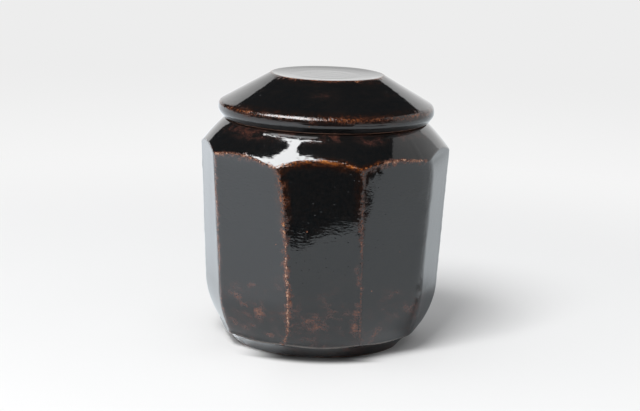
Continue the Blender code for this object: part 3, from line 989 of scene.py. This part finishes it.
def make_floor():
    """Lit paper near the jar, with painted shade and painted light, and glowing paper further off.

    The glaze shows both as a brighter painted reflection, with a painted shadow at the right.
    """
    material, tree = new_material("pale_paper")
    place = add(tree, "TexCoord", {}, "Object")
    right = add(tree, "SeparateXYZ", {0: place}, "X")
    back = add(tree, "SeparateXYZ", {0: place}, "Y")
    away = add(tree, "VectorMath", {0: place}, "Value", operation="LENGTH")

    # Painted shade: a soft dark ring on the paper under the jar's overhang in front, fading out at the
    # sides and back; and painted light that makes the paper brighter beside the foot at the left
    beyond = calculate(tree, "POWER", remap(tree, away, *PAINTED_SHADE_RING), PAINTED_SHADE_FALL)
    beyond = largest(tree, beyond, remap(tree, right, *RING_END_LEFT),
                     remap(tree, right, *RING_END_RIGHT), remap(tree, back, *RING_END_BACK))
    painted_light = product(tree, remap(tree, away, *PAINTED_LIGHT_BY_FOOT), remap(tree, away, *PAINTED_LIGHT_AT_LEFT))
    painted_shade_and_light = product(tree, remap(tree, beyond, 0.0, 1.0, PAINTED_SHADE, 1.0),
                   remap(tree, right, *LEFT_SIDE, 1.0, painted_light))

    # Painted reflection: the floor's colour as the glaze shows it, with painted light beside the foot at
    # the left and past the ring, and a painted shadow at the jar's right
    beside_foot = calculate(tree, "ADD", remap(tree, right, *FRONT_LEFT_LIGHT),
                            remap(tree, right, *FAR_LEFT_LIGHT))
    past_ring = remap(tree, right, *LEFT_SIDE, LIGHT_PAST_RING, 1.0)
    painted_shadow = product(tree, remap(tree, right, *SHADOW_LEFT), remap(tree, back, *SHADOW_FRONT),
                        remap(tree, back, *SHADOW_BACK), remap(tree, right, *SHADOW_RIGHT))
    strength = product(tree, remap(tree, away, *BESIDE_FOOT, beside_foot, 1.0),
                       remap(tree, away, *PAST_RING, past_ring, 1.0),
                       remap(tree, painted_shadow, 0.0, 1.0, 1.0, PAINTED_SHADOW_LIGHT))
    in_glaze = blend(tree, remap(tree, right, *BRIGHT_TO_DIM),
                     (*BRIGHT_IN_GLAZE, 1), (*DIM_IN_GLAZE, 1))

    painted_reflection = add(tree, "VectorMath", {0: in_glaze, "Scale": strength}, operation="SCALE")
    tint = blend(tree, add(tree, "LightPath", {}, "Is Glossy Ray"), painted_shade_and_light, painted_reflection)
    paper = add(tree, "VectorMath", {0: tint, "Scale": FLOOR_WHITE}, operation="SCALE")
    lit = add(tree, "BsdfDiffuse", {"Color": paper})
    glowing = add(tree, "Emission", {"Color": tint, "Strength": remap(tree, away, *PAPER_GLOW)})
    show(tree, add(tree, "MixShader", {0: remap(tree, away, *GLOW_RANGE), 1: lit, 2: glowing}))
    half = FLOOR_SIZE / 2
    panel("floor", [(-half, -half, 0), (half, -half, 0), (half, half, 0), (-half, half, 0)], material)


# The window as the shoulder shows it, on a ceiling plane: (right, back)
CEILING = 1.1
WINDOW_GLOW = 15.2
DAYLIGHT = (0.98, 0.99, 1.0)
WINDOW = (
    (-1.20, -0.13), (-1.05, -0.19), (-0.95, -0.27), (-0.785, -0.345), (-0.686, -0.36), (-0.592, -0.372),
    (-0.525, -0.393), (-0.492, -0.366), (-0.48, -0.334), (-0.491, -0.276), (-0.509, -0.227),
    (-0.539, -0.173), (-0.592, -0.092), (-0.676, 0.026), (-0.75, 0.15), (-0.74, 0.18), (-0.669, 0.054),
    (-0.56, -0.121), (-0.454, -0.207), (-0.324, -0.277), (-0.196, -0.307), (-0.055, -0.336),
    (-0.057, -0.352), (-0.175, -0.340), (-0.262, -0.328), (-0.321, -0.325), (-0.35, -0.372),
    (-0.384, -0.416), (-0.406, -0.482), (-0.394, -0.574), (-0.375, -0.65), (-0.298, -0.712),
    (-0.213, -0.755), (-0.22, -1.10), (-0.35, -2.50), (-1.00, -2.50), (-1.90, -0.90), (-1.80, -0.40),
)
# Dark flags just over the floor, (right, back): one in front of the jar, and two at its right,
# which show in the facets there
FLAG_HEIGHT = 0.002
FLAG_GLOW = 0.010
FLAG = (
    (-0.10, -0.262), (-0.01, -0.258), (-0.005, -0.232), (-0.001, -0.238), (0.003, -0.248),
    (0.006, -0.250), (0.009, -0.245), (0.013, -0.241), (0.021, -0.246), (0.06, -0.25), (0.12, -0.26),
    (0.9, -1.6), (3.3, -14.5), (-3.3, -14.5), (-0.9, -1.6),
)
BLOT = ((0.14, -0.31), (0.15, -0.235), (0.205, -0.165), (0.245, -0.136), (0.262, -0.1285),
        (0.276, -0.1275), (0.290, -0.133), (0.299, -0.141), (0.297, -0.155), (0.262, -0.20),
        (0.20, -0.29))
SMALL_BLOT = ((0.300, -0.152), (0.325, -0.161), (0.350, -0.170), (0.39, -0.195), (0.42, -0.25),
              (0.33, -0.24), (0.28, -0.20))
# Two pale walls: (back, up) at the right, and (right, up) behind
RIGHT_WALL_PLACE = 1.2
RIGHT_WALL_GLOW = 0.66
RIGHT_WALL = ((-0.3, 0.0), (1.6, 0.0), (1.6, 1.45), (0.9, 1.55), (0.5, 1.62), (0.18, 1.465), (0.0, 1.39),
              (-0.2, 1.26), (-0.3, 1.19))
BACK_WALL_PLACE = 1.6
BACK_WALL_GLOW = 1.11
BACK_WALL = ((-0.98, 0.0), (1.2, 0.0), (1.2, 0.99), (0.60, 0.99), (-0.98, 1.17))


def make_cards():
    card("back_wall", [(x, BACK_WALL_PLACE, z) for x, z in BACK_WALL], BACK_WALL_GLOW)
    card("right_wall", [(RIGHT_WALL_PLACE, y, z) for y, z in RIGHT_WALL], RIGHT_WALL_GLOW)
    for name, corners in (("front_flag", FLAG), ("right_blot", BLOT), ("small_blot", SMALL_BLOT)):
        card(name, [(x, y, FLAG_HEIGHT) for x, y in corners], FLAG_GLOW)
    card("window", [(x, y, CEILING) for x, y in WINDOW], WINDOW_GLOW, DAYLIGHT)


KEY_PLACE = (-0.80, -1.60, 2.10)
KEY_AIM = (0, 0, 0.03)
KEY_SIZE = 1.2
KEY_WATTS = 67.0
AMBIENT_STRENGTH = 0.48
DARK_ROOM = (0.022, 0.024, 0.026)


def make_key():
    """A broad soft light from the front left, which doesn't show in the glaze."""
    data = bpy.data.lights.new("key", "AREA")
    data.size = KEY_SIZE
    data.energy = KEY_WATTS
    light = new_object("key", data)
    light.location = KEY_PLACE
    light.rotation_euler = (Vector(KEY_AIM) - Vector(KEY_PLACE)).to_track_quat("-Z", "Y").to_euler()
    light.visible_glossy = False
    light.visible_camera = False


def make_world():
    """Pale to the camera, soft light on everything, and dark in the glaze."""
    world = bpy.data.worlds.new("studio")
    world.use_nodes = True
    tree = world.node_tree
    tree.nodes.remove(tree.nodes["Background"])
    pale = add(tree, "Background", {"Color": (FAR_GLOW, FAR_GLOW, FAR_GLOW, 1.0)})
    soft = add(tree, "Background", {"Color": (*DAYLIGHT, 1.0), "Strength": AMBIENT_STRENGTH})
    dark = add(tree, "Background", {"Color": (*DARK_ROOM, 1.0)})
    in_glaze = add(tree, "LightPath", {}, "Is Glossy Ray")
    to_camera = add(tree, "LightPath", {}, "Is Camera Ray")
    unseen = add(tree, "MixShader", {0: in_glaze, 1: soft, 2: dark})
    surface = add(tree, "MixShader", {0: to_camera, 1: unseen, 2: pale})
    tree.links.new(surface, tree.nodes["World Output"].inputs["Surface"])
    bpy.context.scene.world = world


# The photograph's camera
CAMERA_PLACE = (-1.44, -1013.4, 259.6)
CAMERA_PITCH = 10.97  # looking down, degrees
CAMERA_ROLL = 1.89  # the picture leans clockwise, degrees
CAMERA_LENS = 123.75


def make_camera():
    pitch, roll = math.radians(CAMERA_PITCH), math.radians(CAMERA_ROLL)
    forward = Vector((0, math.cos(pitch), -math.sin(pitch)))
    right = Vector((1, 0, 0))
    up = right.cross(forward)
    right, up = (right * math.cos(roll) + up * math.sin(roll),
                 up * math.cos(roll) - right * math.sin(roll))
    data = bpy.data.cameras.new("camera")
    data.lens = CAMERA_LENS
    data.sensor_width = 36.0
    data.clip_start = 0.05
    data.clip_end = 60.0
    camera = new_object("camera", data)
    turn = Matrix((right, up, -forward)).transposed().to_4x4()
    camera.matrix_world = Matrix.Translation(Vector(CAMERA_PLACE) * MM) @ turn
    bpy.context.scene.camera = camera


make_jar()
make_lid()
make_floor()
make_cards()
make_key()
make_world()
make_camera()
bpy.context.scene.view_settings.view_transform = "Standard"
